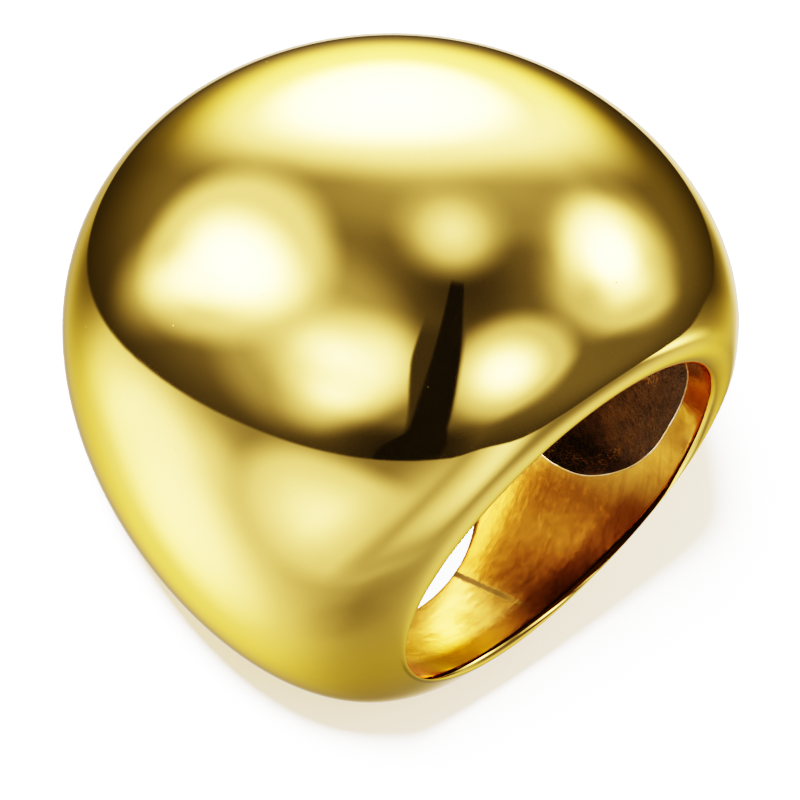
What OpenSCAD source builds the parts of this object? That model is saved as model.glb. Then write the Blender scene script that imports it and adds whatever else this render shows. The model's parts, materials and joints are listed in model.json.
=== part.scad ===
// A wide domed finger ring, one hollow casting, lying on its side.
// It is shaped in its own frame first: X across the finger, Y along the finger hole, Z up through the dome.
// The last step lays it down on one flat rim, with the other rim facing up and to the back.

/* [Finger hole] */
// Radius of the finger hole
hole_r = 9; // [8.8:0.1:9.3]

/* [Outer skin] */
// Half of the ring's width at the middle of its height, across the finger
half_width = 15; // [14.9:0.1:16]
// Half of the ring's depth at the middle of its height, along the finger hole
half_depth = 15.15; // [15.05:0.05:15.6]
// Height of the dome's top over the hole's axis
dome_top = 19.9; // [18.5:0.1:20.1]
// Thickness of the shank at its lowest point
shank = 2.4; // [2.4:0.05:3]
// How much wider the ring is towards the dome than towards the shank
width_taper = 0.08; // [0.02:0.01:0.1]
// How much slimmer both ends are than the middle, across the finger
width_belly = 0.03; // [0:0.01:0.06]
// How much deeper the ring is towards the dome than towards the shank
depth_taper = 0.43; // [0.39:0.01:0.44]
// How much slimmer both ends are than the middle, along the finger hole
depth_belly = 0.28; // [0.24:0.01:0.29]

/* [Rims] */
// Distance from the hole's middle to each rim, along the hole's axis
rim_reach = 9.35; // [9.1:0.05:9.4]
// Lean of each rim's plane away from upright, outwards at the dome
rim_lean = 34.7; // [34.3:0.1:35.4]

/* [Hollow] */
// Wall of the dome
wall = 1.4; // [1.1:0.1:1.8]
// Metal between a rim's plane and the hollow, square to that plane
rim_wall = 1.8; // [1.5:0.1:2.2]
// Depth of the hollow's floor below the hole's axis
floor_drop = 4.8; // [4:0.1:5.4]

/* [Hidden] */
// Levels and sides of the outer skin's facets, and of the hollow's
skin_levels = 44;
skin_sides = 72;
hollow_levels = 24;
hollow_sides = 48;
gold = [0.83, 0.66, 0.25];
// Size of the shapes that cut the ring, larger than the ring itself
reach = 60;
// Small angle between the points that a slope is measured from
step = 0.01;
// Middle and half of the skin's height
mid_z = (dome_top - hole_r - shank) / 2;
half_z = (dome_top + hole_r + shank) / 2;
// Distance from the hole's middle to each rim's plane, square to the plane
rim_height = rim_reach * cos(rim_lean);
// The hollow's lower edge is a round of this radius between two flats that run beside the rims' planes
flat_reach = rim_height - rim_wall;
keel_r = (flat_reach - floor_drop * sin(rim_lean)) / (1 - sin(rim_lean));
keel_z = keel_r - floor_drop;
// Level under the hollow's floor at which its own skin is closed, and its angle down from the dome's top
hollow_foot = -floor_drop - 3 * wall;
hollow_end = acos(max(-1, (hollow_foot - mid_z) / half_z));

// Half-width and half-depth of the skin where the cosine of the angle down from the top is c
function across(c) = half_width * sqrt(1 - c * c) * (1 + width_taper * c - width_belly * c * c);
function along(c) = half_depth * sqrt(1 - c * c) * (1 + depth_taper * c - depth_belly * c * c);

// Point of the outer skin at an angle down from the dome's top and an angle around
function skin_at(down, around) = let(c = cos(down))
    [across(c) * cos(around), along(c) * sin(around), mid_z + half_z * c];

// The same point moved straight in through the metal
function inset_at(down, around, depth) = let(
    p = skin_at(down, around),
    d = skin_at(down + step, around) - skin_at(down - step, around),
    a = skin_at(down, around + step) - skin_at(down, around - step),
    n = cross(d, a)
) p - depth * n / norm(n);

// Angles down and around of a net of facets
function down_angles(levels, last) = [for (i = [1 : levels - 1]) last * i / levels];
function around_angles(sides) = [for (j = [0 : sides - 1]) 360 * j / sides];

// Closed solid through rings of points, with one point over the first ring and one under the last
module net(rings, top, bottom) {
    sides = len(rings[0]);
    last = len(rings) - 1;
    points = [top, each [for (ring = rings) each ring], bottom];
    end = len(points) - 1;
    faces = [
        for (j = [0 : sides - 1]) [0, 1 + (j + 1) % sides, 1 + j],
        for (i = [0 : last - 1], j = [0 : sides - 1])
            [1 + i * sides + j, 1 + i * sides + (j + 1) % sides, 1 + (i + 1) * sides + j],
        for (i = [0 : last - 1], j = [0 : sides - 1])
            [1 + i * sides + (j + 1) % sides, 1 + (i + 1) * sides + (j + 1) % sides, 1 + (i + 1) * sides + j],
        for (j = [0 : sides - 1]) [end, 1 + last * sides + j, 1 + last * sides + (j + 1) % sides]
    ];
    polyhedron(points, faces);
}

skin_rings = [for (d = down_angles(skin_levels, 180)) [for (a = around_angles(skin_sides)) skin_at(d, a)]];
hollow_rings = [for (d = down_angles(hollow_levels, hollow_end))
    [for (a = around_angles(hollow_sides)) inset_at(d, a, wall)]];

// How far a point lies inside the two rims' planes
function inside_rims(p) = rim_height + p[2] * sin(rim_lean) - abs(p[1]) * cos(rim_lean);

// Where a point lies to the front or back once the ring is laid down
function laid_y(p) = p[1] * sin(rim_lean) - p[2] * cos(rim_lean);
kept_y = [for (ring = skin_rings, p = ring) if (inside_rims(p) >= 0) laid_y(p)];
lying_mid = (min(kept_y) + max(kept_y)) / 2;

// Outer form: dome, flanks and shank in one smooth skin
module outer_skin() {
    net(skin_rings, [0, 0, dome_top], [0, 0, -hole_r - shank]);
}

// Round way through for the finger
module finger_hole() {
    rotate([90, 0, 0]) cylinder(h = reach, r = hole_r, center = true, $fn = 96);
}

// What the file takes off to make the two flat rims
module rim_cuts() {
    for (side = [0, 1])
        mirror([0, side, 0])
            rotate([-rim_lean, 0, 0])
                translate([-reach / 2, rim_height, -reach / 2])
                    cube([reach, reach / 2, reach]);
}

// Outline of the hollow seen along X: two flats beside the rims and a round floor
module keel_outline() {
    translate([0, keel_z]) circle(r = keel_r, $fn = 96);
    foot = [keel_r * cos(rim_lean), keel_z - keel_r * sin(rim_lean)];
    rise = reach / 2;
    head = foot + rise * [sin(rim_lean), cos(rim_lean)];
    polygon([[-foot[0], foot[1]], foot, head, [-head[0], head[1]]]);
}

// Space inside the dome, which opens into the finger hole
module hollow() {
    intersection() {
        net(hollow_rings, [0, 0, dome_top - wall], [0, 0, hollow_foot]);
        rotate([90, 0, 90]) linear_extrude(height = reach, center = true) keel_outline();
    }
}

// The whole ring, laid on its side on one flat rim
module domed_ring() {
    color(gold)
        translate([0, -lying_mid, rim_height])
            rotate([90 - rim_lean, 0, 0])
                difference() {
                    outer_skin();
                    finger_hole();
                    rim_cuts();
                    hollow();
                }
}

domed_ring();
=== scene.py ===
"""A wide domed finger ring in mirror-polished gold colour, lying on one rim inside a small light tent."""

import json
import math

import bmesh
import bpy
from bpy.props import FloatProperty, FloatVectorProperty, IntProperty, PointerProperty
from bpy.types import Operator, Panel, PropertyGroup
from mathutils import Matrix, Vector


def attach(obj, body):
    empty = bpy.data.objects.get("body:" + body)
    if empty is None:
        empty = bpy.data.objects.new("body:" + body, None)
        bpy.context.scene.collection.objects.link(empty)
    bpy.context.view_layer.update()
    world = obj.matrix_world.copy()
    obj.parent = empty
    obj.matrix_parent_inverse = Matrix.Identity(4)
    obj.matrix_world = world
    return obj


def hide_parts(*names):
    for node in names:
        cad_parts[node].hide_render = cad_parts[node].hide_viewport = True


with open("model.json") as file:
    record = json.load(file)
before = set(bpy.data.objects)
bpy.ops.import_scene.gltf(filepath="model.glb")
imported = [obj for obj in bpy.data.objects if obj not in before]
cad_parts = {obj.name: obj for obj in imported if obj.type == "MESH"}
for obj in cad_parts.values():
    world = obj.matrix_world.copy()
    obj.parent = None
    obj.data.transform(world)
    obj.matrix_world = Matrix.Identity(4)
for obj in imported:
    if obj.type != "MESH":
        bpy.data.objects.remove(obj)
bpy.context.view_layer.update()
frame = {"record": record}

bl_info = {
    "name": "Domed Ring",
    "version": (1, 0, 0),
    "blender": (4, 5, 0),
    "location": "View3D > Sidebar > Domed Ring",
    "description": "Builds a hollow domed finger ring and the light tent that it mirrors",
    "category": "Add Mesh",
}

MM = 0.001
HOLE = next(mount for mount in frame["record"]["mounts"] if mount["name"] == "finger_hole")
HOLE_MIDDLE = Vector(HOLE["pos_m"])
HOLE_AXIS = Vector(HOLE["axis"])
HOLE_RADIUS = HOLE["dims"]["r_mm"] * MM
# Each rim's plane leans away from upright, and the ring lies on one of the two planes
RIM_LEAN = math.asin(HOLE_AXIS.y)
RIM_REACH = HOLE_MIDDLE.z / math.cos(RIM_LEAN)
# Order of the finishes in the shell's material slots
POLISH, SATIN, CAST = range(3)
# Strip of the finger hole's wall beside each rim that is divided more finely, in millimetres
EDGE_ZONE = 1.2


# Sizes, colours and studio settings

class RingSizes(PropertyGroup):
    """Sizes of the ring in its own frame: X across the finger, Y along the hole, Z up through the dome"""
    half_width: FloatProperty(
        name="Half Width", description="Half of the width at mid-height, across the finger",
        default=15.0 * MM, unit="LENGTH")
    half_depth: FloatProperty(
        name="Half Depth", description="Half of the depth at mid-height, along the finger hole",
        default=15.15 * MM, unit="LENGTH")
    dome_top: FloatProperty(
        name="Dome Top", description="Height of the dome's top over the hole's axis",
        default=19.9 * MM, unit="LENGTH")
    shank: FloatProperty(
        name="Shank", description="Thickness of the shank at its lowest point",
        default=2.4 * MM, unit="LENGTH")
    width_taper: FloatProperty(
        name="Width Taper", description="How much wider the ring is towards the dome", default=0.08)
    width_belly: FloatProperty(
        name="Width Belly", description="How much slimmer both ends are, across the finger", default=0.03)
    depth_taper: FloatProperty(
        name="Depth Taper", description="How much deeper the ring is towards the dome", default=0.43)
    depth_belly: FloatProperty(
        name="Depth Belly", description="How much slimmer both ends are, along the hole", default=0.28)
    polish_loss: FloatProperty(
        name="Polish Loss", description="Metal that polishing takes off the skin",
        default=0.012 * MM, unit="LENGTH")
    open_roll_depth: FloatProperty(
        name="Open Roll Depth", description="How deep the open rim's edge is rounded off down the wall",
        default=0.36 * MM, unit="LENGTH")
    open_roll_width: FloatProperty(
        name="Open Roll Width", description="Most that the open rim's edge is rounded off across the flat",
        default=0.5 * MM, unit="LENGTH")
    floor_roll_depth: FloatProperty(
        name="Floor Roll Depth", description="How deep the floor rim's edge is taken off down the wall",
        default=0.52 * MM, unit="LENGTH")
    floor_roll_width: FloatProperty(
        name="Floor Roll Width", description="Most that the floor rim's edge is taken off across the flat",
        default=0.6 * MM, unit="LENGTH")
    roll_share: FloatProperty(
        name="Roll Share", description="Largest share of a rim's flat that this takes", default=0.72)
    floor_bevel: FloatProperty(
        name="Floor Bevel", description="How much flatter than a round the floor rim's edge is", default=0.85)
    open_bevel: FloatProperty(
        name="Open Bevel", description="How much flatter than a round the open rim's edge is", default=0.4)
    file_loss: FloatProperty(
        name="File Loss", description="How much lower the open rim is filed at the height of the hole's axis",
        default=0.12 * MM, unit="LENGTH")
    file_lean: FloatProperty(
        name="File Lean", description="How much steeper the open rim is filed, which spares the shank",
        default=math.radians(1.0), subtype="ANGLE")
    wall: FloatProperty(
        name="Wall", description="Wall of the dome", default=1.4 * MM, unit="LENGTH")
    rim_wall: FloatProperty(
        name="Rim Wall", description="Metal between each rim's plane and the hollow",
        default=1.8 * MM, unit="LENGTH")
    floor_drop: FloatProperty(
        name="Floor Drop", description="Depth of the hollow's floor below the hole's axis",
        default=4.8 * MM, unit="LENGTH")
    cast_waves: FloatProperty(
        name="Cast Waves", description="Height of the waves in the casting's rough inner skin",
        default=0.12 * MM, unit="LENGTH")
    crisp_angle: FloatProperty(
        name="Crisp Angle", description="The open rim stays crisp up to this angle from the shank's bottom",
        default=math.radians(68), subtype="ANGLE")
    soft_angle: FloatProperty(
        name="Soft Angle", description="The open rim is worn soft from this angle on",
        default=math.radians(98), subtype="ANGLE")
    soft_passes: IntProperty(
        name="Soft Passes", description="How far the wear of the open rim goes", default=50)
    shank_softness: FloatProperty(
        name="Shank Softness", description="Share of that wear at the shank", default=0.03)
    mouth_edge: FloatProperty(
        name="Mouth Edge", description="Radius of the thin raised edge along the hollow's mouth",
        default=0.03 * MM, unit="LENGTH")


class RingMesh(PropertyGroup):
    """How finely the ring's surfaces are divided"""
    around: IntProperty(name="Around", description="Divisions around the finger hole", default=288)
    stations: IntProperty(name="Stations", description="Divisions of the skin from rim to rim", default=160)
    hole_steps: IntProperty(name="Hole Steps", description="Divisions along the hole's wall", default=24)
    edge_steps: IntProperty(
        name="Edge Steps", description="Divisions of the hole's wall beside each rim", default=12)
    rim_steps: IntProperty(name="Rim Steps", description="Divisions across each flat rim", default=7)
    guide_sides: IntProperty(name="Guide Sides", description="Sides of the guide for the skin", default=96)
    guide_levels: IntProperty(name="Guide Levels", description="Levels of the guide", default=72)
    keel_cuts: IntProperty(
        name="Keel Cuts", description="Flat cuts that round the hollow's floor", default=24)
    cast_grain: FloatProperty(
        name="Cast Grain", description="Size of the faces inside the hollow", default=0.3 * MM, unit="LENGTH")


class RingFinish(PropertyGroup):
    """Colours of the ring's finishes"""
    polish: FloatVectorProperty(
        name="Polish", description="Mirror-polished skin", subtype="COLOR", default=(0.95, 0.56, 0.101))
    satin: FloatVectorProperty(
        name="Satin", description="Brushed wall of the finger hole", subtype="COLOR",
        default=(0.86, 0.40, 0.07))
    # Amber and brown are also painted shade on the finger hole's wall; brown also gives it random darker
    # patches
    amber: FloatVectorProperty(
        name="Amber", description="The same wall past the soldered seam, on the -x side", subtype="COLOR",
        default=(0.42, 0.15, 0.018))
    brown: FloatVectorProperty(
        name="Brown", description="Darker strip of the wall beside the open rim", subtype="COLOR",
        default=(0.16, 0.045, 0.005))
    # Dark partly as the casting's own colour and partly as painted shade of the hollow
    cast: FloatVectorProperty(
        name="Cast", description="Rough casting inside the dome", subtype="COLOR",
        default=(0.10, 0.042, 0.009))
    solder: FloatVectorProperty(
        name="Solder", description="Seam across the shank, inside the hole", subtype="COLOR",
        default=(0.04, 0.032, 0.016))


class StudioSettings(PropertyGroup):
    """Camera, floor and light tent"""
    camera_direction: FloatVectorProperty(
        name="Camera Direction", description="From the ring to the camera", subtype="DIRECTION",
        default=(0.50737, -0.05179, 0.86017))
    camera_up: FloatVectorProperty(
        name="Camera Up", description="Upright direction of the picture", subtype="DIRECTION",
        default=(-0.46692, -0.85548, 0.22391))
    camera_aim: FloatVectorProperty(
        name="Camera Aim", description="From the hole's middle to the middle of the picture",
        subtype="TRANSLATION", default=(-0.431 * MM, -2.932 * MM, 0.078 * MM))
    camera_distance: FloatProperty(
        name="Camera Distance", description="From the aim to the camera", default=1.5, unit="LENGTH")
    picture_width: FloatProperty(
        name="Picture Width", description="Width of the picture at the aim",
        default=36.25 * MM, unit="LENGTH")
    floor_size: FloatProperty(
        name="Floor Size", description="Side of the square floor", default=1.6, unit="LENGTH")
    floor_light: FloatProperty(
        name="Floor Light", description="Plain light that falls on the floor from all around", default=3.4)
    floor_tint: FloatVectorProperty(
        name="Floor Tint", description="Colour of that light, which the shadows keep", subtype="COLOR",
        default=(1.0, 0.80, 0.54))
    lamp_power: FloatProperty(
        name="Lamp Power", description="Power of the soft lamp, in watts", default=250.0)
    lamp_place: FloatVectorProperty(
        name="Lamp Place", description="Where the soft lamp hangs; it points at the scene's middle",
        subtype="TRANSLATION", default=(0.27, -0.32, 0.66))
    lamp_width: FloatProperty(
        name="Lamp Width", description="Width of the soft lamp's round face", default=0.25, unit="LENGTH")
    lamp_tint: FloatVectorProperty(
        name="Lamp Tint", description="Colour of the soft lamp", subtype="COLOR", default=(0.94, 0.97, 1.0))
    beam_power: FloatProperty(
        name="Beam Power", description="Power of the beam through the finger hole, in watts", default=60.0)
    beam_distance: FloatProperty(
        name="Beam Distance", description="From the beam's place on the floor up to its lamp",
        default=0.4, unit="LENGTH")
    beam_width: FloatProperty(
        name="Beam Width", description="Angle across the beam", default=math.radians(1.1), subtype="ANGLE")
    beam_softness: FloatProperty(
        name="Beam Softness", description="Radius of the beam's lamp", default=0.5 * MM, unit="LENGTH")
    beam_target: FloatVectorProperty(
        name="Beam Target", description="Place on the floor that shows through the finger hole",
        subtype="TRANSLATION", default=(-0.0024, 0.0103, 0.0))
    tent_up: FloatVectorProperty(
        name="Tent Up", description="Upright direction of the light tent that the ring mirrors",
        subtype="DIRECTION", default=(-0.255, -0.717, 0.649))


# Small helpers

def show_only(piece):
    """Makes one object the only selected and the active one."""
    bpy.ops.object.select_all(action="DESELECT")
    piece.select_set(True)
    bpy.context.view_layer.objects.active = piece
    return piece


def enter_edit(piece, mode="VERT"):
    show_only(piece)
    bpy.ops.object.mode_set(mode="EDIT")
    bpy.ops.mesh.select_mode(type=mode)
    bpy.ops.mesh.select_all(action="DESELECT")


def leave_edit():
    bpy.ops.object.mode_set(mode="OBJECT")


def pick(piece, kind, wanted):
    """Selects, in edit mode, the verts, edges or faces for which wanted is true."""
    bpy.ops.mesh.select_all(action="DESELECT")
    mesh = bmesh.from_edit_mesh(piece.data)
    for item in getattr(mesh, kind):
        if wanted(item):
            item.select_set(True)
    bmesh.update_edit_mesh(piece.data)


def apply_modifier(piece, kind, **settings):
    """Adds one modifier with these settings and applies it."""
    show_only(piece)
    modifier = piece.modifiers.new(kind.title(), kind)
    for name, value in settings.items():
        setattr(modifier, name, value)
    bpy.ops.object.modifier_apply(modifier=modifier.name)


def join(pieces, name):
    bpy.ops.object.select_all(action="DESELECT")
    for piece in pieces:
        piece.select_set(True)
    bpy.context.view_layer.objects.active = pieces[0]
    bpy.ops.object.join()
    pieces[0].name = pieces[0].data.name = name
    return pieces[0]


def lay_down(piece):
    """Takes a piece from the ring's own frame, in millimetres, to where the ring lies, in metres."""
    show_only(piece)
    piece.scale = (MM, MM, MM)
    piece.rotation_euler = (math.pi / 2 - RIM_LEAN, 0, 0)
    piece.location = HOLE_MIDDLE
    bpy.ops.object.transform_apply(location=True, rotation=True, scale=True)


def smooth_step(low, high, value):
    t = min(1, max(0, (value - low) / (high - low)))
    return t * t * (3 - 2 * t)


# Form of the ring, in its own frame and in millimetres

def half_sizes(sizes, c):
    """Half-width and half-depth of the skin where the cosine of the angle down from the top is c."""
    slim = math.sqrt(max(0.0, 1 - c * c))
    width = 1 + sizes.width_taper * c - sizes.width_belly * c * c
    depth = 1 + sizes.depth_taper * c - sizes.depth_belly * c * c
    return sizes.half_width / MM * slim * width, sizes.half_depth / MM * slim * depth


def add_egg(name, sizes, sides, levels, inset):
    """The whole dome as a closed egg: a sphere whose level rings are drawn out one by one."""
    bottom = (HOLE_RADIUS + sizes.shank) / MM
    top = sizes.dome_top / MM
    bpy.ops.object.select_all(action="DESELECT")
    bpy.ops.mesh.primitive_uv_sphere_add(segments=sides, ring_count=levels, radius=1)
    egg = bpy.context.object
    egg.name = name
    enter_edit(egg)
    rings = {}
    for vertex in bmesh.from_edit_mesh(egg.data).verts:
        down = math.acos(max(-1, min(1, vertex.co.z)))
        rings.setdefault(round(down * levels / math.pi), []).append(vertex.index)
    for level in range(1, levels):
        down = math.pi * level / levels
        width, depth = half_sizes(sizes, math.cos(down))
        bpy.ops.mesh.select_all(action="DESELECT")
        mesh = bmesh.from_edit_mesh(egg.data)
        mesh.verts.ensure_lookup_table()
        for index in rings[level]:
            mesh.verts[index].select_set(True)
        bmesh.update_edit_mesh(egg.data)
        bpy.ops.transform.resize(
            value=(width / math.sin(down), depth / math.sin(down), 1), center_override=(0, 0, 0))
    bpy.ops.mesh.select_all(action="SELECT")
    bpy.ops.transform.resize(value=(1, 1, (top + bottom) / 2), center_override=(0, 0, 0))
    bpy.ops.transform.translate(value=(0, 0, (top - bottom) / 2))
    leave_edit()
    apply_modifier(egg, "SUBSURF", levels=2, render_levels=2)
    enter_edit(egg)
    bpy.ops.mesh.select_all(action="SELECT")
    bpy.ops.transform.shrink_fatten(value=-inset / MM)
    leave_edit()
    return egg


class Rim:
    """The plane of one rim: side -1 is the rim that the ring lies on, and side 1 the open one."""

    def __init__(self, side, reach, lean):
        self.side = side
        self.reach = reach / MM
        self.lean = lean
        self.normal = Vector((0, side * math.cos(lean), -math.sin(lean)))
        self.height = self.reach * math.cos(lean)

    def outside(self, point):
        """How far a point lies outside the plane."""
        return self.normal.dot(point) - self.height

    def moved(self, inwards):
        return Rim(self.side, (self.reach - inwards) * MM, self.lean)

    def add_loop(self, corners):
        """The line that the finger hole cuts in this plane."""
        bpy.ops.object.select_all(action="DESELECT")
        bpy.ops.mesh.primitive_circle_add(vertices=corners, radius=HOLE_RADIUS / MM)
        loop = bpy.context.object
        loop.scale = (1, 1 / math.cos(self.lean), 1)
        loop.rotation_euler = (math.pi / 2 - self.side * self.lean, 0, 0)
        loop.location = (0, self.side * self.reach, 0)
        bpy.ops.object.transform_apply(location=True, rotation=True, scale=True)
        return loop


def add_skin(divisions, floor_rim, open_rim):
    """A net for the outer skin: the hole's line at one rim, spun over to the other rim."""
    # Both rims' planes meet in a line along X under the shank
    slope = math.tan(floor_rim.lean) + math.tan(open_rim.lean)
    hinge_z = -(floor_rim.reach + open_rim.reach) / slope
    hinge_y = open_rim.reach + hinge_z * math.tan(open_rim.lean)
    hinge = Vector((0, hinge_y, hinge_z))
    step = (floor_rim.lean + open_rim.lean) / divisions.stations
    skin = floor_rim.add_loop(divisions.around)
    enter_edit(skin)
    bpy.ops.mesh.select_all(action="SELECT")
    # One step more at each end lets the normals at the rims lie in the rims' planes
    bpy.ops.transform.rotate(value=-step, orient_axis="X", center_override=hinge)
    bpy.ops.mesh.select_all(action="SELECT")
    bpy.ops.mesh.spin(
        steps=divisions.stations + 2, angle=-step * (divisions.stations + 2), center=hinge, axis=(-1, 0, 0))
    bpy.ops.mesh.select_all(action="SELECT")
    bpy.ops.mesh.normals_make_consistent(inside=False)
    leave_edit()
    return skin


def in_plane(rim, item):
    return all(abs(rim.outside(vertex.co)) < 0.002 for vertex in item.verts)


def on_hole(item):
    radius = HOLE_RADIUS / MM
    return all(abs(math.hypot(vertex.co.x, vertex.co.z) - radius) < 0.001 for vertex in item.verts)


def bridge(piece, steps, wanted):
    """Joins the two picked loops of edges with a strip of faces."""
    pick(piece, "edges", lambda edge: len(edge.link_faces) < 2 and wanted(edge))
    bpy.ops.mesh.bridge_edge_loops(number_cuts=steps - 1, interpolation="LINEAR")


def add_solid_ring(sizes, divisions):
    """The ring without its hollow: the skin, both flat rims and the wall of the finger hole."""
    floor_rim = Rim(-1, RIM_REACH, RIM_LEAN)
    open_rim = Rim(1, RIM_REACH - sizes.file_loss, RIM_LEAN - sizes.file_lean)
    guide = add_egg("guide", sizes, divisions.guide_sides, divisions.guide_levels, sizes.polish_loss)
    skin = add_skin(divisions, floor_rim, open_rim)
    apply_modifier(
        skin, "SHRINKWRAP", target=guide, wrap_method="PROJECT",
        use_positive_direction=True, use_negative_direction=False)
    bpy.data.objects.remove(guide, do_unlink=True)
    enter_edit(skin)
    pick(skin, "verts", lambda vertex: max(floor_rim.outside(vertex.co), open_rim.outside(vertex.co)) > 0.005)
    bpy.ops.mesh.delete(type="VERT")
    leave_edit()

    lines = [floor_rim, floor_rim.moved(EDGE_ZONE), open_rim.moved(EDGE_ZONE), open_rim]
    loops = [line.add_loop(divisions.around) for line in lines]
    ring = join([skin] + loops, "ring_shell")
    ring.data.materials.clear()
    enter_edit(ring, "EDGE")
    for rim in (floor_rim, open_rim):
        bridge(ring, divisions.rim_steps, lambda edge: in_plane(rim, edge))
    for first, second, steps in zip(
            lines, lines[1:], (divisions.edge_steps, divisions.hole_steps, divisions.edge_steps)):
        bridge(ring, steps, lambda edge: on_hole(edge) and (in_plane(first, edge) or in_plane(second, edge)))
    bpy.ops.mesh.select_all(action="SELECT")
    bpy.ops.mesh.remove_doubles(threshold=0.001)
    bpy.ops.mesh.select_all(action="SELECT")
    bpy.ops.mesh.normals_make_consistent(inside=False)
    leave_edit()
    return ring, floor_rim, open_rim


def roll_edge(ring, rim, depth, widest, largest_share, bevel):
    """Takes off the edge between a flat rim and the hole's wall: a quarter of an ellipse, or flatter."""
    radius, bins = HOLE_RADIUS / MM, 180
    flat_width = [0.0] * bins
    near = []
    for vertex in ring.data.vertices:
        out = math.hypot(vertex.co.x, vertex.co.z) - radius
        # How far down the wall, along the hole, the point lies from the rim's plane
        down = -rim.outside(vertex.co) / math.cos(rim.lean)
        if out < 0.001 and down < depth or abs(down) < 0.002:
            turn = math.atan2(vertex.co.x, -vertex.co.z) / math.tau * bins
            near.append((vertex, out, down, turn))
            if out > 0.001:
                flat_width[round(turn) % bins] = max(flat_width[round(turn) % bins], out)
    for vertex, out, down, turn in near:
        step = math.floor(turn)
        before, after = flat_width[step % bins], flat_width[(step + 1) % bins]
        flat = before + (after - before) * (turn - step)
        width = min(widest, largest_share * flat)
        if out > width:
            continue
        share = (out - down + depth) / (width + depth)
        angle = math.pi / 2 * share
        out = width * (bevel * share + (1 - bevel) * (1 - math.cos(angle)))
        down = depth * (bevel * (1 - share) + (1 - bevel) * (1 - math.sin(angle)))
        scale = (radius + out) / math.hypot(vertex.co.x, vertex.co.z)
        vertex.co.x *= scale
        vertex.co.z *= scale
        vertex.co.y = rim.side * (rim.reach + vertex.co.z * math.tan(rim.lean) - down)


def soften_rim(ring, open_rim, sizes):
    """Wears the open rim soft round the dome, and only a little at the shank."""
    group = ring.vertex_groups.new(name="soft")
    for vertex in ring.data.vertices:
        depth = -open_rim.outside(vertex.co)
        from_shank = math.atan2(abs(vertex.co.x), -vertex.co.z)
        worn = smooth_step(sizes.crisp_angle, sizes.soft_angle, from_shank)
        near_rim = 1 - smooth_step(0.8, 2.0, depth)
        weight = (sizes.shank_softness + (1 - sizes.shank_softness) * worn) * near_rim
        if weight > 0:
            group.add([vertex.index], weight, "REPLACE")
    apply_modifier(ring, "SMOOTH", factor=0.5, iterations=sizes.soft_passes, vertex_group="soft")
    ring.vertex_groups.clear()


def add_hollow(sizes, divisions):
    """The space inside the dome: its inner skin, cut to two flats and a round floor, rough as cast."""
    hollow = add_egg("hollow", sizes, divisions.guide_sides, divisions.guide_levels, sizes.wall)
    flat = (RIM_REACH * math.cos(RIM_LEAN) - sizes.rim_wall) / MM
    drop = sizes.floor_drop / MM
    keel = (flat - drop * math.sin(RIM_LEAN)) / (1 - math.sin(RIM_LEAN))
    enter_edit(hollow)
    for cut in range(divisions.keel_cuts + 1):
        turn = -RIM_LEAN - (math.pi - 2 * RIM_LEAN) * cut / divisions.keel_cuts
        normal = Vector((0, math.cos(turn), math.sin(turn)))
        bpy.ops.mesh.select_all(action="SELECT")
        bpy.ops.mesh.bisect(
            plane_co=Vector((0, 0, keel - drop)) + keel * normal, plane_no=normal,
            use_fill=True, clear_outer=True)
    leave_edit()
    apply_modifier(hollow, "REMESH", mode="VOXEL", voxel_size=divisions.cast_grain / MM)
    waves = bpy.data.textures.new("cast waves", "CLOUDS")
    waves.noise_scale = 1.3
    waves.noise_depth = 3
    apply_modifier(
        hollow, "DISPLACE", texture=waves, strength=sizes.cast_waves / MM, mid_level=0.5,
        texture_coords="LOCAL")
    bpy.data.textures.remove(waves)
    return hollow


# Shader wiring

class Wires:
    """Adds nodes to one shader tree, each with its inputs given as sockets or plain values"""

    def __init__(self, tree):
        self.tree = tree
        tree.nodes.clear()

    def node(self, kind, values=(), **settings):
        node = self.tree.nodes.new(kind)
        for name, value in settings.items():
            setattr(node, name, value)
        for socket, value in (values.items() if isinstance(values, dict) else enumerate(values)):
            if isinstance(value, bpy.types.NodeSocket):
                self.tree.links.new(value, node.inputs[socket])
            else:
                node.inputs[socket].default_value = value
        return node

    def math(self, operation, *values, clamp=False):
        return self.node("ShaderNodeMath", values, operation=operation, use_clamp=clamp).outputs[0]

    def total(self, first, *others):
        for other in others:
            first = self.math("ADD", first, other)
        return first

    def product(self, first, second):
        return self.math("MULTIPLY", first, second)

    def less(self, first, second):
        return self.math("SUBTRACT", first, second)

    def most(self, first, *others):
        for other in others:
            first = self.math("MAXIMUM", first, other)
        return first

    def dot(self, vector, direction):
        node = self.node("ShaderNodeVectorMath", (vector, direction), operation="DOT_PRODUCT")
        return node.outputs["Value"]

    def between(self, value, low, high, start=0.0, end=1.0):
        """Goes smoothly from start to end while value goes from low to high."""
        return self.node(
            "ShaderNodeMapRange",
            {"Value": value, "From Min": low, "From Max": high, "To Min": start, "To Max": end},
            interpolation_type="SMOOTHSTEP").outputs["Result"]

    def noise(self, vector, scale, detail=3.0, roughness=0.55):
        return self.node(
            "ShaderNodeTexNoise", {"Vector": vector, "Scale": scale, "Detail": detail, "Roughness": roughness}
        ).outputs["Fac"]

    def mix(self, share, first, second):
        """A number between two."""
        return self.node("ShaderNodeMix", {0: share, 2: first, 3: second}, data_type="FLOAT").outputs[0]

    def blend(self, share, first, second):
        """A colour between two, each given as a socket or as red, green and blue."""
        first, second = (
            value if isinstance(value, bpy.types.NodeSocket) else (*value, 1.0) for value in (first, second))
        return self.node(
            "ShaderNodeMix", {0: share, 6: first, 7: second}, data_type="RGBA").outputs[2]

    def bump(self, height, distance, strength=1.0, normal=None):
        values = {"Height": height, "Distance": distance, "Strength": strength}
        if normal is not None:
            values["Normal"] = normal
        return self.node("ShaderNodeBump", values).outputs["Normal"]

    def end(self, kind, shader):
        self.node(kind, {0: shader})


def new_finish(name):
    material = bpy.data.materials.new(name)
    material.use_nodes = True
    return material, Wires(material.node_tree)


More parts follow.
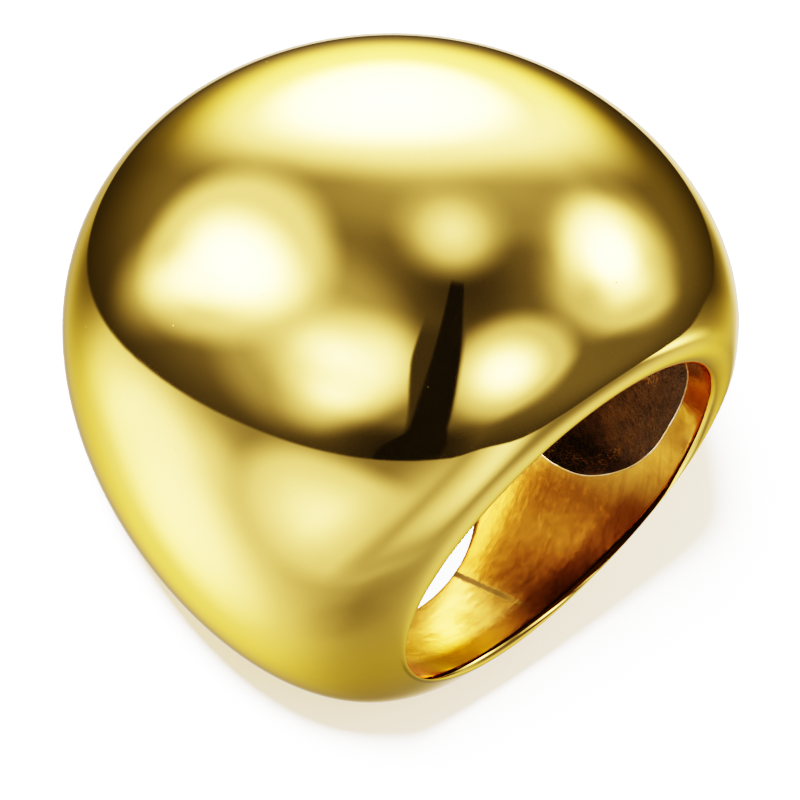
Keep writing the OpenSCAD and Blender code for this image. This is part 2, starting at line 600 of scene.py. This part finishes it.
def ring_frame(wires):
    """Position in the ring's own frame, in millimetres."""
    place = wires.node("ShaderNodeTexCoord").outputs["Object"]
    return wires.node(
        "ShaderNodeMapping", {
            "Vector": place, "Location": HOLE_MIDDLE, "Rotation": (math.pi / 2 - RIM_LEAN, 0, 0),
            "Scale": (MM, MM, MM)},
        vector_type="TEXTURE").outputs["Vector"]


def pits(wires, place, spacing, size, share):
    """Small round pits, 1 in their middles, in only some of the cells that they are spread over."""
    cells = wires.node(
        "ShaderNodeTexVoronoi", {"Vector": place, "Scale": 1 / spacing, "Randomness": 1.0}, feature="F1")
    drop = wires.between(cells.outputs["Distance"], 0.3 * size / spacing, size / spacing, 1.0, 0.0)
    pick_cell = wires.node("ShaderNodeSeparateColor", {0: cells.outputs["Color"]}).outputs[0]
    return wires.product(drop, wires.math("LESS_THAN", pick_cell, share))


def rim_depth(wires, rim, y, z):
    """How far inside the plane of one rim a point lies, in millimetres."""
    outwards = wires.less(
        wires.product(y, rim.side * math.cos(rim.lean)), wires.product(z, math.sin(rim.lean)))
    return wires.less(rim.height, outwards)


def polish_finish(finish, open_rim):
    """Mirror-polished gold: faint waves from the buffing wheel, tiny pits and hairline scratches, with a
    painted warm reflection under the shank and a painted dark line of shade under the open rim.
    """
    material, wires = new_finish("mirror polished gold")
    place = ring_frame(wires)
    small = pits(wires, place, 1.1, 0.05, 0.22)
    large = pits(wires, place, 3.7, 0.09, 0.14)
    spots = wires.most(small, large)
    waves = wires.noise(place, 0.16, 1.0, 0.4)
    haze = wires.noise(place, 0.55, 4.0, 0.6)
    hair = wires.node(
        "ShaderNodeMapping",
        {"Vector": place, "Rotation": (0.4, 0.3, 0.9), "Scale": (0.25, 9.0, 0.6)}).outputs[0]
    hairlines = wires.between(wires.noise(hair, 1.0, 2.0, 0.7), 0.62, 0.78)
    normal = wires.bump(waves, 0.05 * MM, 0.22)
    normal = wires.bump(spots, -0.012 * MM, 0.6, normal)
    tone = wires.blend(wires.between(haze, 0.3, 0.7), finish.polish, [0.97 * part for part in finish.polish])
    x, y, z = wires.node("ShaderNodeSeparateXYZ", (place,)).outputs
    # Painted reflection: the shank's underside is tinted a warmer orange, as if it mirrored the ring's warm
    # shadow on the table
    tone = wires.blend(wires.between(z, -11.3, -8.0, 0.85, 0.0), tone, (0.93, 0.42, 0.05))
    depth = rim_depth(wires, open_rim, y, z)
    # Painted shade: a thin dark line just under the open rim, only at the shank
    line = wires.product(wires.between(depth, 0.02, 0.05), wires.between(depth, 0.08, 0.13, 1.0, 0.0))
    line = wires.product(line, wires.between(z, -3.0, -5.0))
    tone = wires.blend(wires.product(line, 0.7), tone, (0.20, 0.11, 0.015))
    tone = wires.blend(wires.product(spots, 0.75), tone, (0.20, 0.09, 0.02))
    rough = wires.total(
        wires.between(haze, 0.35, 0.75, 0.022, 0.05), wires.product(hairlines, 0.03),
        wires.product(spots, 0.35))
    shader = wires.node("ShaderNodeBsdfPrincipled", {
        "Base Color": tone, "Metallic": 1.0, "Roughness": rough, "Normal": normal,
        "Specular Tint": (1.0, 0.81, 0.38, 1.0)})
    wires.end("ShaderNodeOutputMaterial", shader.outputs[0])
    return material


def satin_finish(finish, open_rim):
    """Brushed wall of the finger hole, polished beside the open rim, with a seam near the shank's bottom and
    painted shade and light along the wall.
    """
    material, wires = new_finish("brushed gold of the finger hole")
    place = ring_frame(wires)
    x, y, z = wires.node("ShaderNodeSeparateXYZ", (place,)).outputs
    around = wires.math("ARCTAN2", x, wires.product(z, -1.0))
    along = wires.node("ShaderNodeCombineXYZ", (wires.product(around, 2.2), y, 0.0)).outputs[0]
    fine = wires.node("ShaderNodeMapping", {"Vector": along, "Scale": (1.0, 16.0, 1.0)}).outputs[0]
    coarse = wires.node("ShaderNodeMapping", {"Vector": along, "Scale": (0.7, 2.6, 1.0)}).outputs[0]
    scratches = wires.noise(fine, 1.0, 5.0, 0.7)
    streaks = wires.noise(coarse, 1.0, 3.0, 0.6)
    grain = wires.noise(place, 6.0, 4.0, 0.65)
    depth = rim_depth(wires, open_rim, y, z)
    # Painted shade and light: past the seam the wall is painted a deeper amber, then darker brown, and beside
    # the mouth it is painted lighter again
    past = wires.between(around, math.radians(-21), math.radians(-12), 1.0, 0.0)
    light = wires.product(
        wires.between(around, math.radians(-66), math.radians(-52), 1.0, 0.0),
        wires.between(around, math.radians(-150), math.radians(-128)))
    dim = wires.between(around, math.radians(-54), math.radians(-42), 0.65, 0.0)
    broad = wires.noise(place, 0.45, 3.0, 0.6)
    mottle = wires.noise(place, 2.2, 4.0, 0.65)
    tone = wires.blend(past, finish.satin, finish.amber)
    tone = wires.blend(dim, tone, finish.brown)
    tone = wires.blend(light, tone, [0.75 * part for part in finish.satin])
    tone = wires.blend(wires.between(broad, 0.4, 0.7, 0.0, 0.5), tone, finish.brown)
    pale_amber = [1.7 * part for part in finish.amber]
    tone = wires.blend(wires.between(mottle, 0.45, 0.75, 0.0, 0.35), tone, pale_amber)
    tone = wires.blend(wires.between(streaks, 0.45, 0.75, 0.0, 0.25), tone, finish.brown)
    # Brown strip of painted shade beside the open rim, and the rolled edge itself, which is polished
    strip = wires.total(
        depth, wires.product(wires.less(mottle, 0.5), 0.5),
        wires.product(wires.less(broad, 0.5), 0.8))
    strip = wires.between(strip, 1.30, 2.0, 0.92, 0.0)
    strip = wires.product(strip, wires.between(light, 0.0, 1.0, 1.0, 0.25))
    tone = wires.blend(strip, tone, finish.brown)
    tone = wires.blend(wires.between(depth, 0.24, 0.34, 1.0, 0.0), tone, finish.polish)
    # The seam runs along the hole, a little to the -x side of the shank's bottom, and fades at its ends
    offset = wires.math("ABSOLUTE", wires.math("ADD", around, math.radians(16)))
    wander = wires.product(wires.less(grain, 0.5), 0.03)
    seam = wires.between(wires.math("ADD", offset, wander), 0.010, 0.024, 1.0, 0.0)
    seam = wires.product(seam, wires.between(depth, 0.5, 2.8))
    tone = wires.blend(wires.product(seam, 0.88), tone, finish.solder)
    rough = wires.between(scratches, 0.3, 0.7, 0.13, 0.22)
    rough = wires.product(rough, wires.between(depth, 0.28, 0.5, 0.2, 1.0))
    rough = wires.math("ADD", rough, wires.product(seam, 0.2), clamp=True)
    normal = wires.bump(scratches, 0.006 * MM, wires.between(depth, 0.36, 0.7, 0.0, 0.5))
    normal = wires.bump(broad, 0.10 * MM, 0.25, normal)
    normal = wires.bump(mottle, 0.012 * MM, wires.between(depth, 0.36, 0.7, 0.0, 0.4), normal)
    normal = wires.bump(grain, 0.03 * MM, wires.product(seam, 0.7), normal)
    shader = wires.node("ShaderNodeBsdfPrincipled", {
        "Base Color": tone, "Metallic": 1.0, "Roughness": rough, "Normal": normal,
        "Specular Tint": (1.0, 0.75, 0.38, 1.0)})
    wires.end("ShaderNodeOutputMaterial", shader.outputs[0])
    return material


def cast_finish(finish):
    """Rough casting inside the dome, dark partly by its own colour and partly by painted shade, with grains
    that carry painted glints, most near the mouth.
    """
    material, wires = new_finish("rough cast gold")
    place = ring_frame(wires)
    lumps = wires.noise(place, 1.1, 5.0, 0.65)
    grain = wires.noise(place, 7.0, 3.0, 0.7)
    x, y, z = wires.node("ShaderNodeSeparateXYZ", (place,)).outputs
    reach = wires.math("SQRT", wires.math("ADD", wires.product(x, x), wires.product(z, z)))
    near = wires.between(reach, 9.0, 11.5, 1.0, 0.0)
    # Lighter grains: partly the casting's own grain, partly painted glints, more of them near the mouth where
    # light comes in
    clusters = wires.between(wires.noise(place, 0.33, 2.0, 0.5), 0.50, 0.60)
    grain_and_painted_glints = wires.math("MULTIPLY", wires.between(grain, 0.50, 0.62), wires.total(
        wires.product(clusters, 0.9), wires.between(near, 0.0, 1.0, 0.05, 0.25)), clamp=True)
    tone = wires.blend(wires.between(lumps, 0.3, 0.7), finish.cast, [0.45 * part for part in finish.cast])
    tone = wires.blend(grain_and_painted_glints, tone, [0.6 * part for part in finish.satin])
    normal = wires.bump(lumps, 0.25 * MM, 0.8)
    normal = wires.bump(grain, 0.08 * MM, 0.8, normal)
    shader = wires.node("ShaderNodeBsdfPrincipled", {
        "Base Color": tone, "Metallic": 1.0, "Roughness": wires.between(grain, 0.3, 0.7, 0.45, 0.7),
        "Normal": normal})
    wires.end("ShaderNodeOutputMaterial", shader.outputs[0])
    return material


def edge_finish(finish):
    """Thin edge that the file left along the hollow's mouth, bright partly from its own reflection and partly
    from a painted highlight in its paler colour.
    """
    material, wires = new_finish("bright filed edge")
    place = ring_frame(wires)
    wear = wires.noise(place, 1.4, 4.0, 0.6)
    # Painted highlight: patches of the edge are paler than the gold
    pale = [0.6 + 0.4 * part for part in finish.polish]
    tone = wires.blend(wires.between(wear, 0.35, 0.65), pale, finish.polish)
    shader = wires.node("ShaderNodeBsdfPrincipled", {
        "Base Color": tone, "Metallic": 1.0, "Roughness": wires.between(wear, 0.3, 0.7, 0.16, 0.34),
        "Normal": wires.bump(wear, 0.03 * MM, 0.5)})
    wires.end("ShaderNodeOutputMaterial", shader.outputs[0])
    return material


# The object's pieces

class RING_OT_shell(Operator):
    """The whole casting: dome, shank, finger hole, two rims and the hollow inside the dome"""
    bl_idname = "domed_ring.shell"
    bl_label = "Ring Shell"

    def execute(self, context):
        sizes, divisions = context.scene.ring_sizes, context.scene.ring_mesh
        finish = context.scene.ring_finish
        ring, floor_rim, open_rim = add_solid_ring(sizes, divisions)
        for face in ring.data.polygons:
            wall = math.hypot(face.center.x, face.center.z) < HOLE_RADIUS / MM + 0.002
            flat = max(floor_rim.outside(face.center), open_rim.outside(face.center)) > -0.001
            face.material_index = SATIN if wall and not flat else POLISH
        roll_edge(
            ring, floor_rim, sizes.floor_roll_depth / MM, sizes.floor_roll_width / MM, sizes.roll_share,
            sizes.floor_bevel)
        roll_edge(
            ring, open_rim, sizes.open_roll_depth / MM, sizes.open_roll_width / MM, sizes.roll_share,
            sizes.open_bevel)
        soften_rim(ring, open_rim, sizes)
        hollow = add_hollow(sizes, divisions)
        hollow.data.polygons.foreach_set("material_index", [CAST] * len(hollow.data.polygons))
        finishes = (polish_finish(finish, open_rim), satin_finish(finish, open_rim), cast_finish(finish))
        for material in finishes:
            ring.data.materials.append(material)
            hollow.data.materials.append(material)
        apply_modifier(ring, "BOOLEAN", object=hollow, operation="DIFFERENCE", solver="EXACT")
        bpy.data.objects.remove(hollow, do_unlink=True)
        enter_edit(ring)
        bpy.ops.mesh.select_all(action="SELECT")
        bpy.ops.mesh.remove_doubles(threshold=0.002)
        leave_edit()
        lay_down(ring)
        bpy.ops.object.shade_smooth_by_angle(angle=math.radians(32))
        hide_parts("domed_ring")
        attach(ring, "root")
        return {"FINISHED"}


class RING_OT_mouth_edge(Operator):
    """The thin raised edge along the hollow's mouth, traced from the shell"""
    bl_idname = "domed_ring.mouth_edge"
    bl_label = "Mouth Edge"

    def execute(self, context):
        sizes = context.scene.ring_sizes
        ring = bpy.data.objects["ring_shell"]
        enter_edit(ring, "EDGE")
        pick(ring, "edges", lambda edge: {face.material_index for face in edge.link_faces} == {SATIN, CAST})
        bpy.ops.mesh.duplicate()
        bpy.ops.mesh.separate(type="SELECTED")
        leave_edit()
        edge = next(piece for piece in context.selected_objects if piece is not ring)
        show_only(edge)
        edge.name = edge.data.name = "mouth_edge"
        enter_edit(edge)
        bpy.ops.mesh.select_all(action="SELECT")
        bpy.ops.mesh.remove_doubles(threshold=0.25 * MM)
        bpy.ops.mesh.select_all(action="SELECT")
        bpy.ops.mesh.vertices_smooth(factor=0.5, repeat=3)
        leave_edit()
        bpy.ops.object.convert(target="CURVE")
        edge.data.bevel_depth = sizes.mouth_edge
        edge.data.bevel_resolution = 2
        bpy.ops.object.convert(target="MESH")
        edge.data.materials.clear()
        edge.data.materials.append(edge_finish(context.scene.ring_finish))
        bpy.ops.object.shade_smooth()
        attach(edge, "root")
        return {"FINISHED"}


# Floor, camera and lights

def tent_axes(tent_up):
    """Directions of the light tent's own x, y and z, as the ring lies."""
    up = Vector(tent_up).normalized()
    x = HOLE_AXIS.cross(up).normalized()
    return x, up.cross(x), up


def tent_direction(axes, azimuth, elevation):
    x, y, up = axes
    turn, rise = math.radians(azimuth), math.radians(elevation)
    return math.cos(rise) * (math.cos(turn) * x + math.sin(turn) * y) + math.sin(rise) * up


# The rows of the next two tables, and the numbers of TENT_CLOTH, TABLE_TOP and the table's edge, were made by
# a separate program that fitted them to the reflections in the photo. A few rows were then corrected.
# Soft boxes of the tent as the ring mirrors them, each over the ones before it: azimuth, elevation,
# half-width, half-height and turn in degrees, share of the size over which the outline fades, and brightness
# in the middle and at the edge as powers of ten
TENT_LIGHTS = (
    (49, 65, 25.6, 22.4, 62, 0.67, -1.40, -1.03),
    (233, 69, 37.2, 26.1, 2, 0.24, -0.30, -0.59),
    (8, 86, 13.0, 16.3, 24, 0.45, 0.49, -0.11),
    (355, 27, 32.7, 29.8, 158, 0.29, -0.16, -0.43),
    (12, 23, 20.9, 15.6, 65, 0.61, 1.70, 0.62),
    (7, 27, 21.4, 12.8, 177, 0.89, 0.99, 0.50),
    (73, 30, 22.7, 26.1, 118, 0.25, 0.29, 0.03),
    (70, 30, 13.7, 12.6, 28, 0.53, 1.20, 0.79),
    (149, 41, 19.7, 28.1, 62, 0.61, -1.83, 0.51),
    (142, 28, 9.8, 18.9, 54, 0.72, 0.07, 0.20),
    (154, 44, 13.8, 16.4, 60, 0.72, 1.42, 1.36),
    (235, 35, 33.5, 31.4, 43, 0.41, 0.32, 0.85),
    (238, 30, 19.6, 35.3, 169, 0.80, 0.79, 0.64),
    (239, 38, 21.0, 19.5, 73, 0.30, 1.70, 1.36),
    (311, 29, 30.9, 24.3, 32, 0.25, 0.36, 0.27),
    (309, 16, 11.2, 26.0, 134, 0.64, 1.12, 0.17),
    (315, 29, 19.1, 11.9, 25, 0.54, 1.52, 1.25),
)
# Lighter and darker parts of the table top, in the same way
TABLE_LIGHTS = (
    (301, -47, 32.3, 37.3, 130, 0.90, 0.23, 0.64),
    (19, -41, 23.7, 34.4, 43, 0.24, 0.68, 0.15),
    (55, -38, 16.0, 35.5, 159, 0.89, 0.09, 0.07),
    (145, -42, 43.7, 33.1, 13, 0.60, 0.15, 0.00),
    (77, -12, 15.8, 61.6, 163, 0.48, 0.44, -0.46),
    (183, -1, 20.4, 37.5, 66, 0.32, -1.41, -0.03),
    (297, -25, 16.6, 36.8, 81, 0.53, 0.84, 0.37),
    (310, -44, 16.9, 25.5, 164, 0.47, 0.80, 0.67),
    (149, -5, 21.4, 4.8, 157, 0.49, 0.78, 0.36),
    (221, -24, 15.1, 16.0, 8, 0.54, 0.20, 0.25),
    (279, 15, 29.8, 53.2, 151, 0.70, -2.04, -0.00),
)
# The same for the plain cloth of the tent and for the bare table: brightness low down and high up, the
# two elevations, and how much it grows along the tent's x and y
TENT_CLOTH = (-1.65, -0.82, -24.92, 14.11, 0.10, -0.02)
TABLE_TOP = (-0.73, -0.62, -86.49, -78.25, 0.01, -0.11)


# Bright spots of painted light, as glow on the table inside the lower rim: place, inner and outer radius in
# millimetres, and brightness
HOLE_SPOTS = (
    ((-3.9, 5.3, 0.0), 0.9, 2.4, 22.0),
    ((-6.8, 1.0, 0.0), 0.5, 2.2, 4.0),
    ((3.7, 6.2, 0.0), 0.6, 2.6, 2.2),
)


def lay_light(wires, look, axes, under, row):
    """Brightness, as a power of ten, of one soft box laid over what is under it."""
    azimuth, elevation, half_width, half_height, turn, fade, middle, edge = row
    centre = tent_direction(axes, azimuth, elevation)
    side = axes[2].cross(centre).normalized()
    over = centre.cross(side)
    turn = math.radians(turn)
    side, over = (
        math.cos(turn) * side + math.sin(turn) * over, math.cos(turn) * over - math.sin(turn) * side)
    ahead = wires.math("MAXIMUM", wires.dot(look, centre), 0.001)
    squares = []
    for direction, half in ((side, half_width), (over, half_height)):
        share = wires.math("DIVIDE", wires.dot(look, direction / math.tan(math.radians(half))), ahead)
        squares.append(wires.product(share, share))
    spread = wires.math("SQRT", wires.math("ADD", *squares))
    inside = wires.between(spread, 1 - fade, 1 + fade, 1.0, 0.0)
    value = wires.between(spread, 0.0, 1.0, middle, edge)
    return wires.mix(inside, under, value)


def lit_surface(wires, look, axes, plain, rows):
    low, high, bottom, top, along_x, along_y = plain
    rise = wires.product(wires.math("ARCSINE", wires.dot(look, axes[2])), math.degrees(1))
    value = wires.total(
        wires.between(rise, bottom, top, low, high),
        wires.dot(look, along_x * axes[0] + along_y * axes[1]))
    for row in rows:
        value = lay_light(wires, look, axes, value, row)
    return value


def mirrored_tent(wires, look, axes):
    """Brightness of the tent with its lights, the dark camera stand, and the table top."""
    x, y, z = (wires.dot(look, axis) for axis in axes)
    azimuth = wires.product(wires.math("ARCTAN2", y, x), math.degrees(1))
    elevation = wires.product(wires.math("ARCSINE", z), math.degrees(1))
    tent = lit_surface(wires, look, axes, TENT_CLOTH, TENT_LIGHTS)
    table = lit_surface(wires, look, axes, TABLE_TOP, TABLE_LIGHTS)
    # The stand is a narrow dark bar that widens into a foot on the table, with fainter shades beside it
    left = wires.less(azimuth, wires.between(elevation, 4.0, 40.0, 36.0, 30.0))
    shade = wires.product(wires.between(left, -0.9, 0.9), wires.between(azimuth, 48.0, 52.0, 1.0, 0.0))
    shade = wires.product(shade, wires.between(elevation, 44.0, 56.0, 1.0, 0.0))
    low = wires.product(wires.between(azimuth, 8.0, 34.0), wires.between(azimuth, 50.0, 66.0, 1.0, 0.0))
    low = wires.product(low, wires.between(elevation, -4.0, 8.0, 0.9, 0.0))
    middle = wires.between(elevation, -9.0, 3.0, 40.0, 43.8)
    half = wires.less(
        wires.between(elevation, -7.0, 5.0, 11.0, 6.3),
        wires.between(elevation, 5.0, 62.0, 0.0, 1.2))
    beside = wires.less(wires.math("ABSOLUTE", wires.less(azimuth, middle)), half)
    stand = wires.product(
        wires.between(beside, -0.9, 0.9, 1.0, 0.0),
        wires.between(elevation, 65.0, 69.0, 1.0, 0.0))
    tent = wires.mix(shade, tent, -1.35)
    tent = wires.mix(low, tent, -1.75)
    tent = wires.mix(stand, tent, -2.05)
    # The table's edge: a curve around the tent whose five numbers came from the same kind of fit
    square = wires.less(wires.product(x, x), wires.product(y, y))
    edge = wires.total(
        -0.167, wires.product(x, -0.035), wires.product(y, 0.067),
        wires.product(square, 0.035), wires.product(wires.product(x, y), -0.114))
    over = wires.between(wires.less(z, edge), -0.012, 0.012)
    return wires.math("POWER", 10.0, wires.math("ADD", wires.mix(over, table, tent), 0.075))


class RING_OT_stage(Operator):
    """Pale floor, soft light with a faint shadow, the tent that the ring mirrors, and the camera"""
    bl_idname = "domed_ring.stage"
    bl_label = "Stage"

    def add_floor(self, studio):
        bpy.ops.object.select_all(action="DESELECT")
        bpy.ops.mesh.primitive_plane_add(size=studio.floor_size)
        floor = bpy.context.object
        floor.name = "floor"
        material, wires = new_finish("pale floor")
        place = wires.node("ShaderNodeTexCoord").outputs["Object"]
        tone = wires.blend(
            wires.between(wires.noise(place, 40.0, 3.0), 0.3, 0.7), (0.86, 0.86, 0.86), (0.83, 0.83, 0.83))
        shader = wires.node("ShaderNodeBsdfPrincipled", {"Base Color": tone, "Roughness": 0.9})
        shader.inputs["Specular IOR Level"].default_value = 0.1
        wires.end("ShaderNodeOutputMaterial", shader.outputs[0])
        floor.data.materials.append(material)
        # The ring mirrors the tent's table top instead of this floor
        floor.visible_glossy = False

    def add_hole_card(self):
        """The part of the table that shows through the floor side of the hole, seen only as a reflection: a
        glowing card with the table's light and bright spots painted on.
        """
        bpy.ops.object.select_all(action="DESELECT")
        bpy.ops.mesh.primitive_circle_add(vertices=96, radius=HOLE_RADIUS, fill_type="NGON")
        card = bpy.context.object
        card.name = "table in the hole"
        card.scale = (1, 1 / math.cos(RIM_LEAN), 1)
        card.location = (0, HOLE_MIDDLE.y - RIM_REACH * HOLE_AXIS.y, 0.02 * MM)
        bpy.ops.object.transform_apply(location=True, rotation=True, scale=True)
        material, wires = new_finish("lit table in the hole")
        place = wires.node("ShaderNodeTexCoord").outputs["Object"]
        glow = 1.0
        for spot, inner, outer, strength in HOLE_SPOTS:
            away = wires.node(
                "ShaderNodeVectorMath", (place, Vector(spot) * MM), operation="DISTANCE").outputs["Value"]
            glow = wires.total(glow, wires.between(away, inner * MM, outer * MM, strength, 0.0))
        shader = wires.node("ShaderNodeEmission", {"Color": (1.0, 0.86, 0.62, 1.0), "Strength": glow})
        wires.end("ShaderNodeOutputMaterial", shader.outputs[0])
        card.data.materials.append(material)
        card.visible_camera = card.visible_diffuse = card.visible_shadow = False

    def add_lamp(self, studio):
        bpy.ops.object.light_add(type="AREA", location=studio.lamp_place)
        lamp = bpy.context.object
        lamp.name = "soft light"
        lamp.data.shape = "DISK"
        lamp.data.size = studio.lamp_width
        lamp.data.energy = studio.lamp_power
        lamp.data.color = studio.lamp_tint
        lamp.rotation_euler = (-lamp.location).to_track_quat("-Z", "Y").to_euler()
        lamp.visible_glossy = False

    def add_beam(self, studio):
        """A narrow beam that reaches the floor through the finger hole."""
        toward = Vector(studio.camera_direction).normalized()
        place = Vector(studio.beam_target) + toward * studio.beam_distance
        bpy.ops.object.light_add(type="SPOT", location=place)
        beam = bpy.context.object
        beam.name = "beam through the hole"
        beam.data.energy = studio.beam_power
        beam.data.spot_size = studio.beam_width
        beam.data.spot_blend = 0.0
        beam.data.shadow_soft_size = studio.beam_softness
        beam.rotation_euler = toward.to_track_quat("Z", "Y").to_euler()
        beam.visible_glossy = False

    def add_tent(self, studio):
        world = bpy.data.worlds.new("light tent")
        bpy.context.scene.world = world
        world.use_nodes = True
        wires = Wires(world.node_tree)
        look = wires.node("ShaderNodeTexCoord").outputs["Generated"]
        brightness = mirrored_tent(wires, look, tent_axes(studio.tent_up))
        mirrored = wires.node(
            "ShaderNodeBackground", {"Color": (1.0, 1.0, 1.0, 1.0), "Strength": brightness})
        plain = wires.node(
            "ShaderNodeBackground", {"Color": (*studio.floor_tint, 1.0), "Strength": studio.floor_light})
        glossy = wires.node("ShaderNodeLightPath").outputs["Is Glossy Ray"]
        mixed = wires.node("ShaderNodeMixShader", (glossy, plain.outputs[0], mirrored.outputs[0]))
        wires.end("ShaderNodeOutputWorld", mixed.outputs[0])

    def add_camera(self, studio):
        toward = Vector(studio.camera_direction).normalized()
        up = Vector(studio.camera_up)
        right = up.cross(toward).normalized()
        up = toward.cross(right)
        aim = HOLE_MIDDLE + Vector(studio.camera_aim)
        bpy.ops.object.camera_add()
        camera = bpy.context.object
        camera.name = "camera"
        camera.matrix_world = Matrix.Translation(aim + toward * studio.camera_distance) @ Matrix(
            (right, up, toward)).transposed().to_4x4()
        camera.data.sensor_width = 36
        camera.data.lens = 36 * studio.camera_distance / studio.picture_width
        camera.data.clip_end = 10
        bpy.context.scene.camera = camera

    def execute(self, context):
        studio = context.scene.ring_studio
        self.add_floor(studio)
        self.add_hole_card()
        self.add_lamp(studio)
        self.add_beam(studio)
        self.add_tent(studio)
        self.add_camera(studio)
        context.scene.view_settings.view_transform = "Filmic"
        context.scene.view_settings.look = "Medium High Contrast"
        return {"FINISHED"}


class RING_PT_panel(Panel):
    """Buttons that build the ring and its stage, and the values that a user may change"""
    bl_idname = "RING_PT_panel"
    bl_label = "Domed Ring"
    bl_space_type = "VIEW_3D"
    bl_region_type = "UI"
    bl_category = "Domed Ring"

    def draw(self, context):
        for name in ("ring_sizes", "ring_mesh", "ring_finish", "ring_studio"):
            settings = getattr(context.scene, name)
            box = self.layout.box()
            for key in settings.bl_rna.properties.keys():
                if key not in ("rna_type", "name"):
                    box.prop(settings, key)
        for operator in OPERATORS:
            self.layout.operator(operator.bl_idname)


SETTINGS = {
    "ring_sizes": RingSizes, "ring_mesh": RingMesh, "ring_finish": RingFinish, "ring_studio": StudioSettings}
OPERATORS = (RING_OT_shell, RING_OT_mouth_edge, RING_OT_stage)


def register():
    for name, settings in SETTINGS.items():
        bpy.utils.register_class(settings)
        setattr(bpy.types.Scene, name, PointerProperty(type=settings))
    for item in (*OPERATORS, RING_PT_panel):
        bpy.utils.register_class(item)


def unregister():
    for item in (RING_PT_panel, *reversed(OPERATORS)):
        bpy.utils.unregister_class(item)
    for name, settings in SETTINGS.items():
        delattr(bpy.types.Scene, name)
        bpy.utils.unregister_class(settings)


def main():
    register()
    bpy.ops.domed_ring.shell()
    bpy.ops.domed_ring.mouth_edge()
    bpy.ops.domed_ring.stage()


if __name__ == "__main__":
    main()
